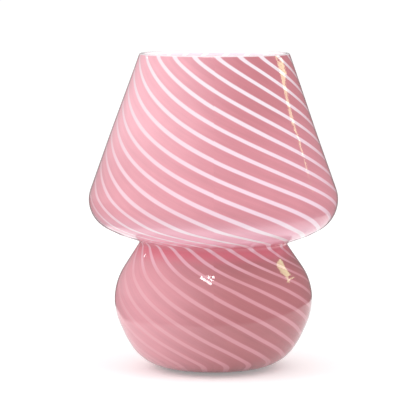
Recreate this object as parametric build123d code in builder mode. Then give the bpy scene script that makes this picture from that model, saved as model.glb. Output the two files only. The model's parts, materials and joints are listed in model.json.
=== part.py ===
from build123d import *
import os
from math import hypot, sqrt

# Mushroom table lamp: a shade and base blown as one piece of glass, with the lampholder on a
# bracket inside the base and a globe bulb standing up through the waist. Millimetres, +Z up,
# origin on the table under the lamp's axis. The front faces -Y and the cord leaves towards +Y.

# ---------------------------------------------------------------- driving dimensions
# Glass: corners of its outside before they are rounded. A height is measured from the foot, a
# rise from the corner below and an inset from the corner above
glass_height = 240.0
rim_radius = 57.0
brim_radius = 101.0
brim_rise = 13.8
brim_round = 24.5
underside_radius = 74.0
underside_rise = 6.5
underside_round = 12.5
waist_radius = 55.4
waist_height = 96.2
waist_round = 2.5
belly_radius = 82.0
belly_height = 56.0
belly_round = 45.5
flank_inset = 15.0
flank_height = 22.5
flank_round = 48.0
foot_inset = 14.2
foot_round = 35.5
wall = 3.5
floor_thickness = 5.0
kick_mouth_radius = 20.0
kick_seat_radius = 13.0
kick_depth = 7.5
kick_round = 2.0

# Holes in the glass
bolt_hole_radius = 4.0
cord_hole_radius = 5.0
cord_hole_place = 0.2

# Pads under the foot
pad_count = 4
pad_radius = 4.0
pad_thickness = 1.5
pad_inset = 3.0

# Cord grommet
cord_bore_radius = 3.1
cord_lip_length = 2.6
cord_passage_radius = 3.7
grommet_flange_radius = 8.0
grommet_outer_flange = 3.0
grommet_inner_flange = 1.8

# Fixing through the kick-up: M6
bolt_radius = 3.0
bolt_length = 20.0
bolt_head_radius = 5.25
bolt_head_height = 3.3
bolt_socket_width = 4.0
bolt_socket_depth = 2.0
gasket_radius = 10.5
gasket_thickness = 1.5
washer_radius = 9.0
washer_thickness = 1.2
spring_washer_radius = 5.9
spring_washer_thickness = 1.6
spring_washer_split = 1.4
nut_width = 10.0
nut_height = 5.0

# Bracket
strap_width = 20.0
strap_thickness = 2.0
strap_bend = 4.0
bracket_height = 30.0
bracket_reach = 25.0
strap_overhang = 11.0

# Hollow M10 x 1 nipple, its nut and its lock washer
nipple_radius = 5.0
nipple_bore_radius = 3.5
nipple_below = 8.5
nipple_above = 5.7
locknut_width = 14.0
locknut_height = 3.0
tooth_washer_radius = 8.0
tooth_washer_thickness = 0.8
tooth_count = 12
tooth_gap = 1.2
tooth_depth = 1.5

# Lampholder, E14
holder_radius = 14.5
collar_radius = 8.0
collar_height = 4.5
shoulder_height = 5.0
shoulder_round = 3.0
collar_round = 1.0
holder_edge = 0.6
cap_floor = 6.5
cap_bore_radius = 11.4
cap_seat_radius = 12.7
insert_flange = 2.8
spigot_length = 6.0
skirt_height = 31.0
skirt_wall = 2.2
spigot_wall = 1.5
mouth_lip = 2.5
mouth_round = 1.5
flute_count = 18
flute_radius = 1.2
flute_length = 18.0
grub_radius = 1.5
grub_length = 3.2
insert_below = 3.2
insert_above = 6.8
insert_collar_radius = 9.6
insert_collar_height = 4.0
shell_bore_radius = 6.95
shell_wall = 0.5
shell_hole_radius = 3.8

# Terminals
terminal_width = 6.0
terminal_inner = 4.5
terminal_height = 4.8
strip_thickness = 0.6
wire_hole_radius = 1.2
wire_hole_edge = 0.5
terminal_screw_radius = 1.4
terminal_screw_head_radius = 2.3
terminal_screw_head_height = 1.1

# Sprung centre contact
plunger_head_radius = 2.4
plunger_head_height = 1.6
plunger_stem_radius = 1.3
plunger_stem_length = 9.0
plunger_bore_radius = 2.7
plunger_travel = 0.8
spring_wire_radius = 0.25
spring_mean_radius = 1.95
spring_turns = 7

# Globe bulb, E14 cap
globe_radius = 22.5
globe_wall = 1.2
globe_seat_radius = 19.0
eyelet_radius = 2.4
eyelet_height = 1.2
insulator_small_radius = 3.4
insulator_large_radius = 5.6
insulator_height = 2.5
insulator_step = 1.2
cap_metal = 0.4
cap_length = 16.8
housing_neck_radius = 8.5
housing_knee_round = 8.0
housing_cone_height = 15.0
housing_wall = 1.6
housing_spigot_length = 6.0
led_board_thickness = 1.2
led_board_drop = 2.4
led_count = 8
led_circle_radius = 10.0
led_length = 3.5
led_width = 2.8
led_height = 0.8
driver_width = 7.6
driver_thickness = 1.2
driver_height = 21.0

# Clearances
seat_gap = 0.1
thread_gap = 0.1
running_gap = 0.3
bolt_clearance = 0.25
bulb_thread_gap = 0.35
terminal_floor_gap = 0.4
terminal_side_gap = 0.8
shell_end_gap = 1.0
mouth_gap = 1.1
neck_sunk = 1.0

# ---------------------------------------------------------------- heights worked out upwards
foot_z = pad_thickness
rim_z = foot_z + glass_height
kick_seat_z = foot_z + kick_depth
glass_seat_z = kick_seat_z + floor_thickness
flank_z = foot_z + flank_height
belly_z = foot_z + belly_height
waist_z = foot_z + waist_height
underside_z = waist_z + underside_rise
brim_z = underside_z + brim_rise
bolt_head_z = kick_seat_z - gasket_thickness - washer_thickness
bracket_z = glass_seat_z + gasket_thickness
strap_top_z = bracket_z + strap_thickness
bracket_top_z = bracket_z + bracket_height
holder_z = bracket_top_z + tooth_washer_thickness
cap_floor_z = holder_z + cap_floor
insert_seat_z = cap_floor_z + terminal_floor_gap + terminal_height + insert_below
spigot_z = insert_seat_z + insert_flange
holder_joint_z = spigot_z + spigot_length
skirt_top_z = holder_joint_z + skirt_height
insert_bottom_z = insert_seat_z - insert_below
insert_top_z = insert_seat_z + insert_above
plunger_seat_z = insert_top_z + shell_wall + running_gap + plunger_travel
plunger_top_z = plunger_seat_z + plunger_head_height
bulb_z = plunger_top_z + running_gap
insulator_z = bulb_z + eyelet_height
bulb_cap_z = insulator_z + insulator_height
bulb_cap_top_z = bulb_cap_z + cap_length
shell_top_z = bulb_cap_top_z - shell_end_gap
housing_knee_z = skirt_top_z - neck_sunk
globe_seat_z = housing_knee_z + housing_cone_height
globe_z = globe_seat_z + sqrt(globe_radius**2 - globe_seat_radius**2)
led_board_z = globe_seat_z - led_board_drop

# ---------------------------------------------------------------- radii worked out from others
flank_radius = belly_radius - flank_inset
foot_radius = flank_radius - foot_inset
pad_circle_radius = kick_mouth_radius + pad_inset + pad_radius
terminal_outer = cap_bore_radius - terminal_side_gap - terminal_screw_head_height
wire_hole_place = terminal_inner + wire_hole_edge + wire_hole_radius
cap_radius = shell_bore_radius - bulb_thread_gap
mouth_radius = housing_neck_radius + mouth_gap


def hexagon(width_across_flats):
    RegularPolygon(width_across_flats / 2, 6, major_radius=False)


def finish(piece, name):
    piece.part.label = name
    export_step(piece.part, f"parts/{name}.step")


os.makedirs("parts", exist_ok=True)

# ---------------------------------------------------------------- glass
# The outside, from above the rim down to the foot and up into the kick-up. It runs on past the
# rim and past the axis, so that the wall can be offset from it and both trimmed afterwards.
overrun = 5 * wall
rim_lip_round = 0.48 * wall
shade_slope = (brim_radius - rim_radius) / (rim_z - brim_z)


def blown_form(offset_by):
    """Half section of the blown form from foot to rim, moved off its outside."""
    with BuildSketch(Plane.XZ) as form:
        with BuildLine():
            side = FilletPolyline(
                (rim_radius - overrun * shade_slope, rim_z + overrun),
                (brim_radius, brim_z),
                (underside_radius, underside_z),
                (waist_radius, waist_z),
                (belly_radius, belly_z),
                (flank_radius, flank_z),
                (foot_radius, foot_z),
                (kick_mouth_radius, foot_z),
                (kick_seat_radius, kick_seat_z),
                (-overrun, kick_seat_z),
                radius=[
                    brim_round,
                    underside_round,
                    waist_round,
                    belly_round,
                    flank_round,
                    foot_round,
                    kick_round,
                    kick_round,
                ],
            )
            Polyline(side @ 1, (-overrun, rim_z + overrun), side @ 0)
        make_face()
        if offset_by:
            offset(amount=offset_by)
        with Locations((0, foot_z)):
            Rectangle(
                2 * brim_radius,
                glass_height,
                align=(Align.MIN, Align.MIN),
                mode=Mode.INTERSECT,
            )
    return form.sketch


# The floor and the kick-up are thicker than the wall
with BuildSketch(Plane.XZ) as floor_section:
    with BuildLine():
        floor_top = FilletPolyline(
            (0, glass_seat_z),
            (kick_seat_radius + floor_thickness / 2, glass_seat_z),
            (kick_mouth_radius + floor_thickness / 2, foot_z + floor_thickness),
            (foot_radius, foot_z + floor_thickness),
            radius=[kick_round, kick_round],
        )
        Polyline(floor_top @ 1, (foot_radius, foot_z), (0, foot_z), floor_top @ 0)
    make_face()

with BuildSketch(Plane.XZ) as glass_section:
    add(blown_form(0))
    add(blown_form(-wall), mode=Mode.SUBTRACT)
    with BuildSketch(Plane.XZ, mode=Mode.PRIVATE) as floor_in_glass:
        add(floor_section.sketch)
        add(blown_form(-wall / 2), mode=Mode.INTERSECT)
    add(floor_in_glass.sketch)

# The cord hole is drilled square to the lower flank, at the back
flank_run = hypot(foot_inset, flank_height)
cord_hole_outward = flank_height / flank_run
cord_hole_downward = foot_inset / flank_run
cord_hole_centre = (
    0,
    flank_radius - cord_hole_place * foot_inset,
    flank_z - cord_hole_place * flank_height,
)
cord_plane = Plane(
    origin=cord_hole_centre,
    x_dir=(1, 0, 0),
    z_dir=(0, cord_hole_outward, -cord_hole_downward),
)

with BuildPart() as glass_body:
    add(glass_section.sketch)
    revolve(axis=Axis.Z)
    rim_edges = glass_body.edges().filter_by(GeomType.CIRCLE).group_by(Axis.Z)[-1]
    fillet(rim_edges, radius=rim_lip_round)
    with BuildSketch(Plane.XY.offset(kick_seat_z)):
        Circle(bolt_hole_radius)
    extrude(amount=floor_thickness, mode=Mode.SUBTRACT)
    with BuildSketch(cord_plane):
        Circle(cord_hole_radius)
    extrude(amount=3 * wall, both=True, mode=Mode.SUBTRACT)
finish(glass_body, "glass_body")

# ---------------------------------------------------------------- pads and grommet
with BuildPart() as bumper_feet:
    with BuildSketch():
        with PolarLocations(pad_circle_radius, pad_count, start_angle=180 / pad_count):
            Circle(pad_radius)
    extrude(amount=pad_thickness)
    chamfer(bumper_feet.edges().group_by(Axis.Z)[0], length=pad_thickness / 4)
finish(bumper_feet, "bumper_feet")

# Both flanges follow the curve of the glass between them. A lip in the outer one fits the cord,
# and the passage through the glass behind it is wider
grommet_length = grommet_outer_flange + wall + grommet_inner_flange
with BuildPart() as cord_grommet:
    with BuildSketch(cord_plane.offset(grommet_outer_flange)):
        Circle(grommet_flange_radius)
    extrude(amount=-grommet_length)
    chamfer(cord_grommet.edges(), length=grommet_inner_flange / 3)
    with BuildSketch(Plane.XZ):
        add(blown_form(seat_gap))
        add(blown_form(-wall - seat_gap), mode=Mode.SUBTRACT)
    revolve(axis=Axis.Z, mode=Mode.SUBTRACT)
    with BuildSketch(cord_plane.offset(grommet_outer_flange / 2)):
        Circle(cord_hole_radius - seat_gap)
    extrude(amount=-(grommet_length + wall) / 2)
    with BuildSketch(cord_plane.offset(grommet_outer_flange)):
        Circle(cord_bore_radius)
    extrude(amount=-cord_lip_length, mode=Mode.SUBTRACT)
    with BuildSketch(cord_plane.offset(grommet_outer_flange - cord_lip_length)):
        Circle(cord_passage_radius)
    extrude(amount=-grommet_length, mode=Mode.SUBTRACT)
finish(cord_grommet, "cord_grommet")

# ---------------------------------------------------------------- fixing through the kick-up
with BuildPart() as fixing_bolt:
    with BuildSketch(Plane.XY.offset(bolt_head_z)):
        Circle(bolt_head_radius)
    extrude(amount=-bolt_head_height)
    fillet(fixing_bolt.edges().group_by(Axis.Z)[0], radius=bolt_head_height / 2)
    with BuildSketch(Plane.XY.offset(bolt_head_z)):
        Circle(bolt_radius)
    extrude(amount=bolt_length)
    chamfer(fixing_bolt.edges().group_by(Axis.Z)[-1], length=bolt_radius / 5)
    with BuildSketch(Plane.XY.offset(bolt_head_z - bolt_head_height)):
        hexagon(bolt_socket_width)
    extrude(amount=bolt_socket_depth, mode=Mode.SUBTRACT)
finish(fixing_bolt, "fixing_bolt")

with BuildPart() as lower_washer:
    with BuildSketch(Plane.XY.offset(bolt_head_z)):
        Circle(washer_radius)
        Circle(bolt_radius + bolt_clearance, mode=Mode.SUBTRACT)
    extrude(amount=washer_thickness)
finish(lower_washer, "lower_washer")

with BuildPart() as lower_gasket:
    with BuildSketch(Plane.XY.offset(bolt_head_z + washer_thickness)):
        Circle(gasket_radius)
        Circle(bolt_radius + bolt_clearance, mode=Mode.SUBTRACT)
    extrude(amount=gasket_thickness)
finish(lower_gasket, "lower_gasket")

with BuildPart() as upper_gasket:
    with BuildSketch(Plane.XY.offset(glass_seat_z)):
        Circle(gasket_radius)
        Circle(bolt_radius + bolt_clearance, mode=Mode.SUBTRACT)
    extrude(amount=gasket_thickness)
finish(upper_gasket, "upper_gasket")

# One strap, bent twice, so that its upper leg stands over the lower one
strap_corner = 0.45 * strap_width
with BuildPart() as holder_bracket:
    with BuildSketch(Plane.XZ):
        with BuildLine() as strap:
            FilletPolyline(
                (strap_overhang, bracket_z + strap_thickness / 2),
                (strap_thickness / 2 - bracket_reach, bracket_z + strap_thickness / 2),
                (strap_thickness / 2 - bracket_reach, bracket_top_z - strap_thickness / 2),
                (strap_overhang, bracket_top_z - strap_thickness / 2),
                radius=strap_bend,
            )
        trace(line_width=strap_thickness)
    extrude(amount=strap_width / 2, both=True)
    free_corners = holder_bracket.edges().filter_by(Axis.Z).group_by(Axis.X)[-1]
    fillet(free_corners, radius=strap_corner)
    with BuildSketch(Plane.XY.offset(bracket_z)):
        Circle(bolt_radius + bolt_clearance)
    extrude(amount=strap_thickness, mode=Mode.SUBTRACT)
    with BuildSketch(Plane.XY.offset(bracket_top_z - strap_thickness)):
        Circle(nipple_radius + thread_gap)
    extrude(amount=strap_thickness, mode=Mode.SUBTRACT)
finish(holder_bracket, "holder_bracket")

with BuildPart() as spring_washer:
    with BuildSketch(Plane.XY.offset(strap_top_z)):
        Circle(spring_washer_radius)
        Circle(bolt_radius + thread_gap, mode=Mode.SUBTRACT)
        with Locations((spring_washer_radius, 0)):
            Rectangle(2 * spring_washer_radius, spring_washer_split, mode=Mode.SUBTRACT)
    extrude(amount=spring_washer_thickness)
finish(spring_washer, "spring_washer")

with BuildPart() as fixing_nut:
    with BuildSketch(Plane.XY.offset(strap_top_z + spring_washer_thickness)):
        hexagon(nut_width)
        Circle(bolt_radius + thread_gap, mode=Mode.SUBTRACT)
    extrude(amount=nut_height)
finish(fixing_nut, "fixing_nut")

# ---------------------------------------------------------------- nipple
nipple_z = bracket_top_z - nipple_below
with BuildPart() as holder_nipple:
    with BuildSketch(Plane.XY.offset(nipple_z)):
        Circle(nipple_radius)
        Circle(nipple_bore_radius, mode=Mode.SUBTRACT)
    extrude(amount=nipple_below + tooth_washer_thickness + nipple_above)
    nipple_ends = holder_nipple.edges().filter_by(GeomType.CIRCLE)
    chamfer(nipple_ends, length=(nipple_radius - nipple_bore_radius) / 4)
finish(holder_nipple, "holder_nipple")

with BuildPart() as nipple_locknut:
    with BuildSketch(Plane.XY.offset(bracket_top_z - strap_thickness)):
        hexagon(locknut_width)
        Circle(nipple_radius + thread_gap, mode=Mode.SUBTRACT)
    extrude(amount=-locknut_height)
finish(nipple_locknut, "nipple_locknut")

with BuildPart() as toothed_washer:
    with BuildSketch(Plane.XY.offset(bracket_top_z)):
        Circle(tooth_washer_radius)
        Circle(nipple_radius + thread_gap, mode=Mode.SUBTRACT)
        with PolarLocations(tooth_washer_radius, tooth_count):
            Rectangle(2 * tooth_depth, tooth_gap, mode=Mode.SUBTRACT)
    extrude(amount=tooth_washer_thickness)
finish(toothed_washer, "toothed_washer")

# ---------------------------------------------------------------- lampholder
with BuildPart() as holder_cap:
    with BuildSketch(Plane.XZ):
        with BuildLine():
            outside = FilletPolyline(
                (nipple_radius + thread_gap, holder_z),
                (collar_radius, holder_z),
                (collar_radius, holder_z + collar_height),
                (holder_radius, holder_z + shoulder_height),
                (holder_radius, holder_joint_z),
                radius=[holder_edge, collar_round, shoulder_round],
            )
            Polyline(
                outside @ 1,
                (cap_seat_radius, holder_joint_z),
                (cap_seat_radius, insert_seat_z),
                (cap_bore_radius, insert_seat_z),
                (cap_bore_radius, cap_floor_z),
                (nipple_radius + thread_gap, cap_floor_z),
                outside @ 0,
            )
        make_face()
    revolve(axis=Axis.Z)
    with BuildSketch(Plane.XZ.offset(nipple_radius)):
        with Locations((0, holder_z + collar_height / 2)):
            Circle(grub_radius)
    extrude(amount=collar_radius, mode=Mode.SUBTRACT)
finish(holder_cap, "holder_cap")

with BuildPart() as cap_grub_screw:
    with BuildSketch(Plane.XZ.offset(nipple_radius + thread_gap)):
        with Locations((0, holder_z + collar_height / 2)):
            Circle(grub_radius - thread_gap)
    extrude(amount=grub_length)
finish(cap_grub_screw, "cap_grub_screw")

spigot_radius = cap_seat_radius - thread_gap
spigot_bore_radius = spigot_radius - spigot_wall
insert_radius = min(cap_bore_radius, spigot_bore_radius) - 2 * seat_gap
with BuildPart() as holder_insert:
    with BuildSketch(Plane.XZ):
        with BuildLine():
            Polyline(
                (plunger_bore_radius, insert_bottom_z),
                (insert_radius, insert_bottom_z),
                (insert_radius, insert_seat_z),
                (cap_seat_radius - seat_gap, insert_seat_z),
                (cap_seat_radius - seat_gap, spigot_z),
                (insert_radius, spigot_z),
                (insert_radius, insert_top_z),
                (insert_collar_radius, insert_top_z),
                (insert_collar_radius, insert_top_z + insert_collar_height),
                (shell_bore_radius + shell_wall + seat_gap, insert_top_z + insert_collar_height),
                (shell_bore_radius + shell_wall + seat_gap, insert_top_z),
                (plunger_bore_radius, insert_top_z),
                close=True,
            )
        make_face()
    revolve(axis=Axis.Z)
    # Slot and recess for the shell terminal's strip
    with BuildSketch(Plane.XY.offset(insert_bottom_z)):
        with Locations((terminal_outer - strip_thickness, 0)):
            Rectangle(strip_thickness + 2 * seat_gap, terminal_width + 2 * seat_gap)
    extrude(amount=insert_top_z - insert_bottom_z, mode=Mode.SUBTRACT)
    with BuildSketch(Plane.XY.offset(insert_top_z)):
        with Locations((terminal_inner - seat_gap, 0)):
            Rectangle(
                terminal_outer - terminal_inner,
                terminal_width + 2 * seat_gap,
                align=(Align.MIN, Align.CENTER),
            )
    extrude(amount=-strip_thickness, mode=Mode.SUBTRACT)
finish(holder_insert, "holder_insert")

with BuildPart() as thread_shell:
    with BuildSketch(Plane.XY.offset(insert_top_z)):
        Circle(shell_bore_radius + shell_wall)
    extrude(amount=shell_top_z - insert_top_z)
    with BuildSketch(Plane.XY.offset(insert_top_z + shell_wall)):
        Circle(shell_bore_radius)
    extrude(amount=shell_top_z - insert_top_z, mode=Mode.SUBTRACT)
    with BuildSketch(Plane.XY.offset(insert_top_z)):
        Circle(shell_hole_radius)
    extrude(amount=shell_wall, mode=Mode.SUBTRACT)
finish(thread_shell, "thread_shell")

# ---------------------------------------------------------------- terminals
terminal_middle = (terminal_inner + terminal_outer) / 2
terminal_length = terminal_outer - terminal_inner


def terminal_block(side):
    """Brass block under the insert, on one side of it, with its wire and screw holes."""
    with BuildPart() as block:
        with BuildSketch(Plane.XY.offset(insert_bottom_z - strip_thickness)):
            with Locations((side * terminal_middle, 0)):
                Rectangle(terminal_length, terminal_width)
        extrude(amount=strip_thickness - terminal_height)
        with BuildSketch(Plane.XY.offset(insert_bottom_z - terminal_height)):
            with Locations((side * wire_hole_place, 0)):
                Circle(wire_hole_radius)
        extrude(amount=terminal_height - 2 * strip_thickness, mode=Mode.SUBTRACT)
        with BuildSketch(Plane.YZ.offset(side * wire_hole_place)):
            with Locations((0, insert_bottom_z - terminal_height / 2)):
                Circle(terminal_screw_radius + thread_gap)
        extrude(amount=side * terminal_length, mode=Mode.SUBTRACT)
    return block.part


shell_side_block = terminal_block(1)
centre_side_block = terminal_block(-1)

with BuildPart() as shell_terminal:
    add(shell_side_block)
    with BuildSketch(Plane.XY.offset(insert_bottom_z - strip_thickness)):
        with Locations((terminal_middle, 0)):
            Rectangle(terminal_length, terminal_width)
    extrude(amount=strip_thickness)
    with BuildSketch(Plane.XY.offset(insert_bottom_z)):
        with Locations((terminal_outer - strip_thickness, 0)):
            Rectangle(strip_thickness, terminal_width)
    extrude(amount=insert_top_z - insert_bottom_z)
    with BuildSketch(Plane.XY.offset(insert_top_z)):
        with Locations((terminal_inner, 0)):
            Rectangle(
                terminal_length - strip_thickness,
                terminal_width,
                align=(Align.MIN, Align.CENTER),
            )
    extrude(amount=-strip_thickness)
finish(shell_terminal, "shell_terminal")

# Its strip runs on under the bore, where the contact spring stands on it
with BuildPart() as centre_terminal:
    add(centre_side_block)
    with BuildSketch(Plane.XY.offset(insert_bottom_z)):
        with Locations((-terminal_outer, 0)):
            Rectangle(
                terminal_outer + plunger_bore_radius + strip_thickness,
                terminal_width,
                align=(Align.MIN, Align.CENTER),
            )
    extrude(amount=-strip_thickness)
finish(centre_terminal, "centre_terminal")

with BuildPart() as terminal_screws:
    for side in (1, -1):
        with BuildSketch(Plane.YZ.offset(side * terminal_outer)):
            with Locations((0, insert_bottom_z - terminal_height / 2)):
                Circle(terminal_screw_head_radius)
        extrude(amount=side * terminal_screw_head_height)
        with BuildSketch(Plane.YZ.offset(side * (wire_hole_place + wire_hole_radius))):
            with Locations((0, insert_bottom_z - terminal_height / 2)):
                Circle(terminal_screw_radius)
        extrude(amount=side * (terminal_outer - wire_hole_place - wire_hole_radius))
finish(terminal_screws, "terminal_screws")

# ---------------------------------------------------------------- sprung centre contact
with BuildPart() as contact_plunger:
    with BuildSketch(Plane.XY.offset(plunger_seat_z)):
        Circle(plunger_head_radius)
    extrude(amount=plunger_head_height)
    fillet(contact_plunger.edges().group_by(Axis.Z)[-1], radius=plunger_head_height / 3)
    with BuildSketch(Plane.XY.offset(plunger_seat_z)):
        Circle(plunger_stem_radius)
    extrude(amount=-plunger_stem_length)
    chamfer(contact_plunger.edges().group_by(Axis.Z)[0], length=plunger_stem_radius / 4)
finish(contact_plunger, "contact_plunger")

spring_length = plunger_seat_z - insert_bottom_z - 2 * spring_wire_radius - seat_gap
with BuildPart() as plunger_spring:
    with BuildLine(Plane.XY.offset(insert_bottom_z + spring_wire_radius + seat_gap / 2)):
        coil = Helix(spring_length / spring_turns, spring_length, spring_mean_radius)
    with BuildSketch(Plane(origin=coil @ 0, z_dir=coil % 0)):
        Circle(spring_wire_radius)
    sweep(path=coil, is_frenet=True)
finish(plunger_spring, "plunger_spring")

# ---------------------------------------------------------------- skirt of the lampholder
with BuildPart() as holder_skirt:
    with BuildSketch(Plane.XZ):
        with BuildLine():
            outside = FilletPolyline(
                (spigot_radius, spigot_z),
                (spigot_radius, holder_joint_z),
                (holder_radius, holder_joint_z),
                (holder_radius, skirt_top_z),
                (mouth_radius, skirt_top_z),
                (mouth_radius, skirt_top_z - mouth_lip),
                radius=[0, 0, mouth_round, holder_edge],
            )
            Polyline(
                outside @ 1,
                (holder_radius - skirt_wall, skirt_top_z - mouth_lip),
                (holder_radius - skirt_wall, holder_joint_z + skirt_wall),
                (spigot_bore_radius, holder_joint_z + skirt_wall),
                (spigot_bore_radius, spigot_z),
                outside @ 0,
            )
        make_face()
    revolve(axis=Axis.Z)
    # Finger grip
    with BuildSketch(Plane.XY.offset(holder_joint_z + (skirt_height - flute_length) / 2)):
        with PolarLocations(holder_radius + flute_radius / 2, flute_count):
            Circle(flute_radius)
    extrude(amount=flute_length, mode=Mode.SUBTRACT)
finish(holder_skirt, "holder_skirt")

# ---------------------------------------------------------------- globe bulb
with BuildPart() as bulb_eyelet:
    with BuildSketch(Plane.XY.offset(insulator_z - seat_gap)):
        Circle(eyelet_radius)
    extrude(amount=seat_gap - eyelet_height)
    fillet(bulb_eyelet.edges().group_by(Axis.Z)[0], radius=eyelet_height / 2)
finish(bulb_eyelet, "bulb_eyelet")

cap_inside_radius = cap_radius - cap_metal
with BuildPart() as bulb_insulator:
    with BuildSketch(Plane.XZ):
        with BuildLine():
            Polyline(
                (0, insulator_z),
                (insulator_small_radius, insulator_z),
                (insulator_large_radius, bulb_cap_z),
                (cap_inside_radius, bulb_cap_z),
                (cap_inside_radius, bulb_cap_z + insulator_step),
                (0, bulb_cap_z + insulator_step),
                close=True,
            )
        make_face()
    revolve(axis=Axis.Z)
finish(bulb_insulator, "bulb_insulator")

with BuildPart() as bulb_cap:
    with BuildSketch(Plane.XY.offset(bulb_cap_z)):
        Circle(cap_radius)
        Circle(cap_inside_radius, mode=Mode.SUBTRACT)
    extrude(amount=cap_length)
finish(bulb_cap, "bulb_cap")

# A neck that widens into a cone, to meet the globe flush. Hollow, with a ledge for the LED board
housing_slope = (globe_seat_radius - housing_neck_radius) / housing_cone_height
ledge_radius = globe_seat_radius - housing_wall - led_board_drop * housing_slope
with BuildPart() as bulb_housing:
    with BuildSketch(Plane.XZ):
        with BuildLine():
            outside = FilletPolyline(
                (cap_inside_radius, bulb_cap_top_z - housing_spigot_length),
                (cap_inside_radius, bulb_cap_top_z),
                (housing_neck_radius, bulb_cap_top_z),
                (housing_neck_radius, housing_knee_z),
                (globe_seat_radius, globe_seat_z),
                radius=[0, holder_edge, housing_knee_round],
            )
            Polyline(
                outside @ 1,
                (globe_seat_radius - housing_wall, globe_seat_z),
                (ledge_radius, led_board_z),
                (ledge_radius - housing_wall, led_board_z),
                (housing_neck_radius - housing_wall, housing_knee_z),
                (cap_inside_radius - housing_wall, bulb_cap_top_z - housing_spigot_length),
                outside @ 0,
            )
        make_face()
    revolve(axis=Axis.Z)
finish(bulb_housing, "bulb_housing")

with BuildPart() as bulb_diffuser:
    with BuildSketch(Plane.XZ):
        with Locations((0, globe_z)):
            Circle(globe_radius)
            Circle(globe_radius - globe_wall, mode=Mode.SUBTRACT)
        with Locations((0, globe_seat_z)):
            Rectangle(
                2 * globe_radius,
                2 * globe_radius,
                align=(Align.MIN, Align.MIN),
                mode=Mode.INTERSECT,
            )
    revolve(axis=Axis.Z)
finish(bulb_diffuser, "bulb_diffuser")

with BuildPart() as led_board:
    with BuildSketch(Plane.XY.offset(led_board_z)):
        Circle(ledge_radius - seat_gap)
    extrude(amount=led_board_thickness)
finish(led_board, "led_board")

with BuildPart() as led_chips:
    with BuildSketch(Plane.XY.offset(led_board_z + led_board_thickness)):
        with PolarLocations(led_circle_radius, led_count):
            Rectangle(led_length, led_width)
    extrude(amount=led_height)
finish(led_chips, "led_chips")

with BuildPart() as driver_board:
    with BuildSketch(Plane.XY.offset(led_board_z)):
        Rectangle(driver_width, driver_thickness)
    extrude(amount=-driver_height)
finish(driver_board, "driver_board")
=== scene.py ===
import json
from math import acos, atan2, ceil, cos, hypot, pi, radians, sin, tan

import bmesh
import bpy
import numpy as np
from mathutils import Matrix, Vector


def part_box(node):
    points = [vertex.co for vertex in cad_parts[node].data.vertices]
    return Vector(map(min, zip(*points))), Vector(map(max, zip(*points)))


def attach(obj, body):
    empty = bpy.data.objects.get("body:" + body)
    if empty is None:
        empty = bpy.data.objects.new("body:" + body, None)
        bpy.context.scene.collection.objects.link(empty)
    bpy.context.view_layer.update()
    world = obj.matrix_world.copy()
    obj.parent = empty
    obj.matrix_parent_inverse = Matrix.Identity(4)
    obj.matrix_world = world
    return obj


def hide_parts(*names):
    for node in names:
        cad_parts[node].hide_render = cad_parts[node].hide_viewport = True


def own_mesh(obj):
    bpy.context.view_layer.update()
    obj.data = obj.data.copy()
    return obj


# Mushroom table lamp of swirled glass. Metres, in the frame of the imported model: +Z up, the
# front towards -Y. Angles round the lamp are measured from the front towards +X.

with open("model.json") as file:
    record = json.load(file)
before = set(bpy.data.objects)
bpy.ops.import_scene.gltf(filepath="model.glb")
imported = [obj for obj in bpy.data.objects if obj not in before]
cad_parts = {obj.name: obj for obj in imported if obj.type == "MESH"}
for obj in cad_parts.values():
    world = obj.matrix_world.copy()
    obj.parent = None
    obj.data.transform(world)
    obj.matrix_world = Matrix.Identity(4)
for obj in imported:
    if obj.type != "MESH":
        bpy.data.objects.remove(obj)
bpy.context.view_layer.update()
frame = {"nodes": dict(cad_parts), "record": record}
nodes = frame["nodes"]
mm = 0.001

# ---------------------------------------------------------------- glass: corners of its outside
foot_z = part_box("bumper_feet")[1][2]
rim_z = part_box("glass_body")[1][2]
wall = 3.5 * mm
floor_thickness = 5.0 * mm
brim_rise = 13.8 * mm
underside_rise = 6.5 * mm
waist_z = foot_z + 96.2 * mm
underside_z = waist_z + underside_rise
brim_z = underside_z + brim_rise
belly_z = foot_z + 56.0 * mm
flank_z = foot_z + 22.5 * mm
kick_seat_z = foot_z + 7.5 * mm
glass_seat_z = kick_seat_z + floor_thickness
rim_radius = 57.0 * mm
brim_radius = 101.0 * mm
belly_radius = 82.0 * mm
flank_radius = 67.0 * mm
foot_radius = 52.8 * mm
kick_mouth_radius = 20.0 * mm
kick_seat_radius = 13.0 * mm
kick_rounding = 2.0 * mm
bolt_hole_radius = 4.0 * mm
cord_hole_radius = 5.0 * mm
cord_hole_place = 0.2  # share of the way down the lower flank

# Place of each corner and how far it is rounded
outside_corners = [
    ((rim_radius, rim_z), 0.0),
    ((brim_radius, brim_z), 24.5 * mm),
    ((74.0 * mm, underside_z), 12.5 * mm),
    ((55.4 * mm, waist_z), 2.5 * mm),
    ((belly_radius, belly_z), 45.5 * mm),
    ((flank_radius, flank_z), 48.0 * mm),
    ((foot_radius, foot_z), 35.5 * mm),
    ((kick_mouth_radius, foot_z), kick_rounding),
    ((kick_seat_radius, kick_seat_z), kick_rounding),
    ((bolt_hole_radius, kick_seat_z), 0.0),
]

# Stripes, evenly spaced round the lamp, and where the first starts, in degrees. The widths are
# shares of the spacing: from a stripe's middle to where it, and the deeper pink beside it, is
# still whole and where it has gone, and how far its edges wander
stripe_count = 21
stripe_spacing = 360 / stripe_count
stripe_start = 0.8
stripe_full = 0.088
stripe_gone = 0.168
beside_full = 0.14
beside_gone = 0.30
stripe_raggedness = 0.035
# Height above the foot in millimetres, and how far the stripes have turned there, in degrees
stripe_turn = [
    (239, 0),
    (112, 174),
    (105, 191),
    (100, 208),
    (95, 220),
    (88, 230.5),
    (68, 266.5),
    (48, 295),
    (28, 321.5),
    (8, 352),
]
# How far along the glass, in millimetres, the bends of that list are evened out
evening_reach = 6
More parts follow.
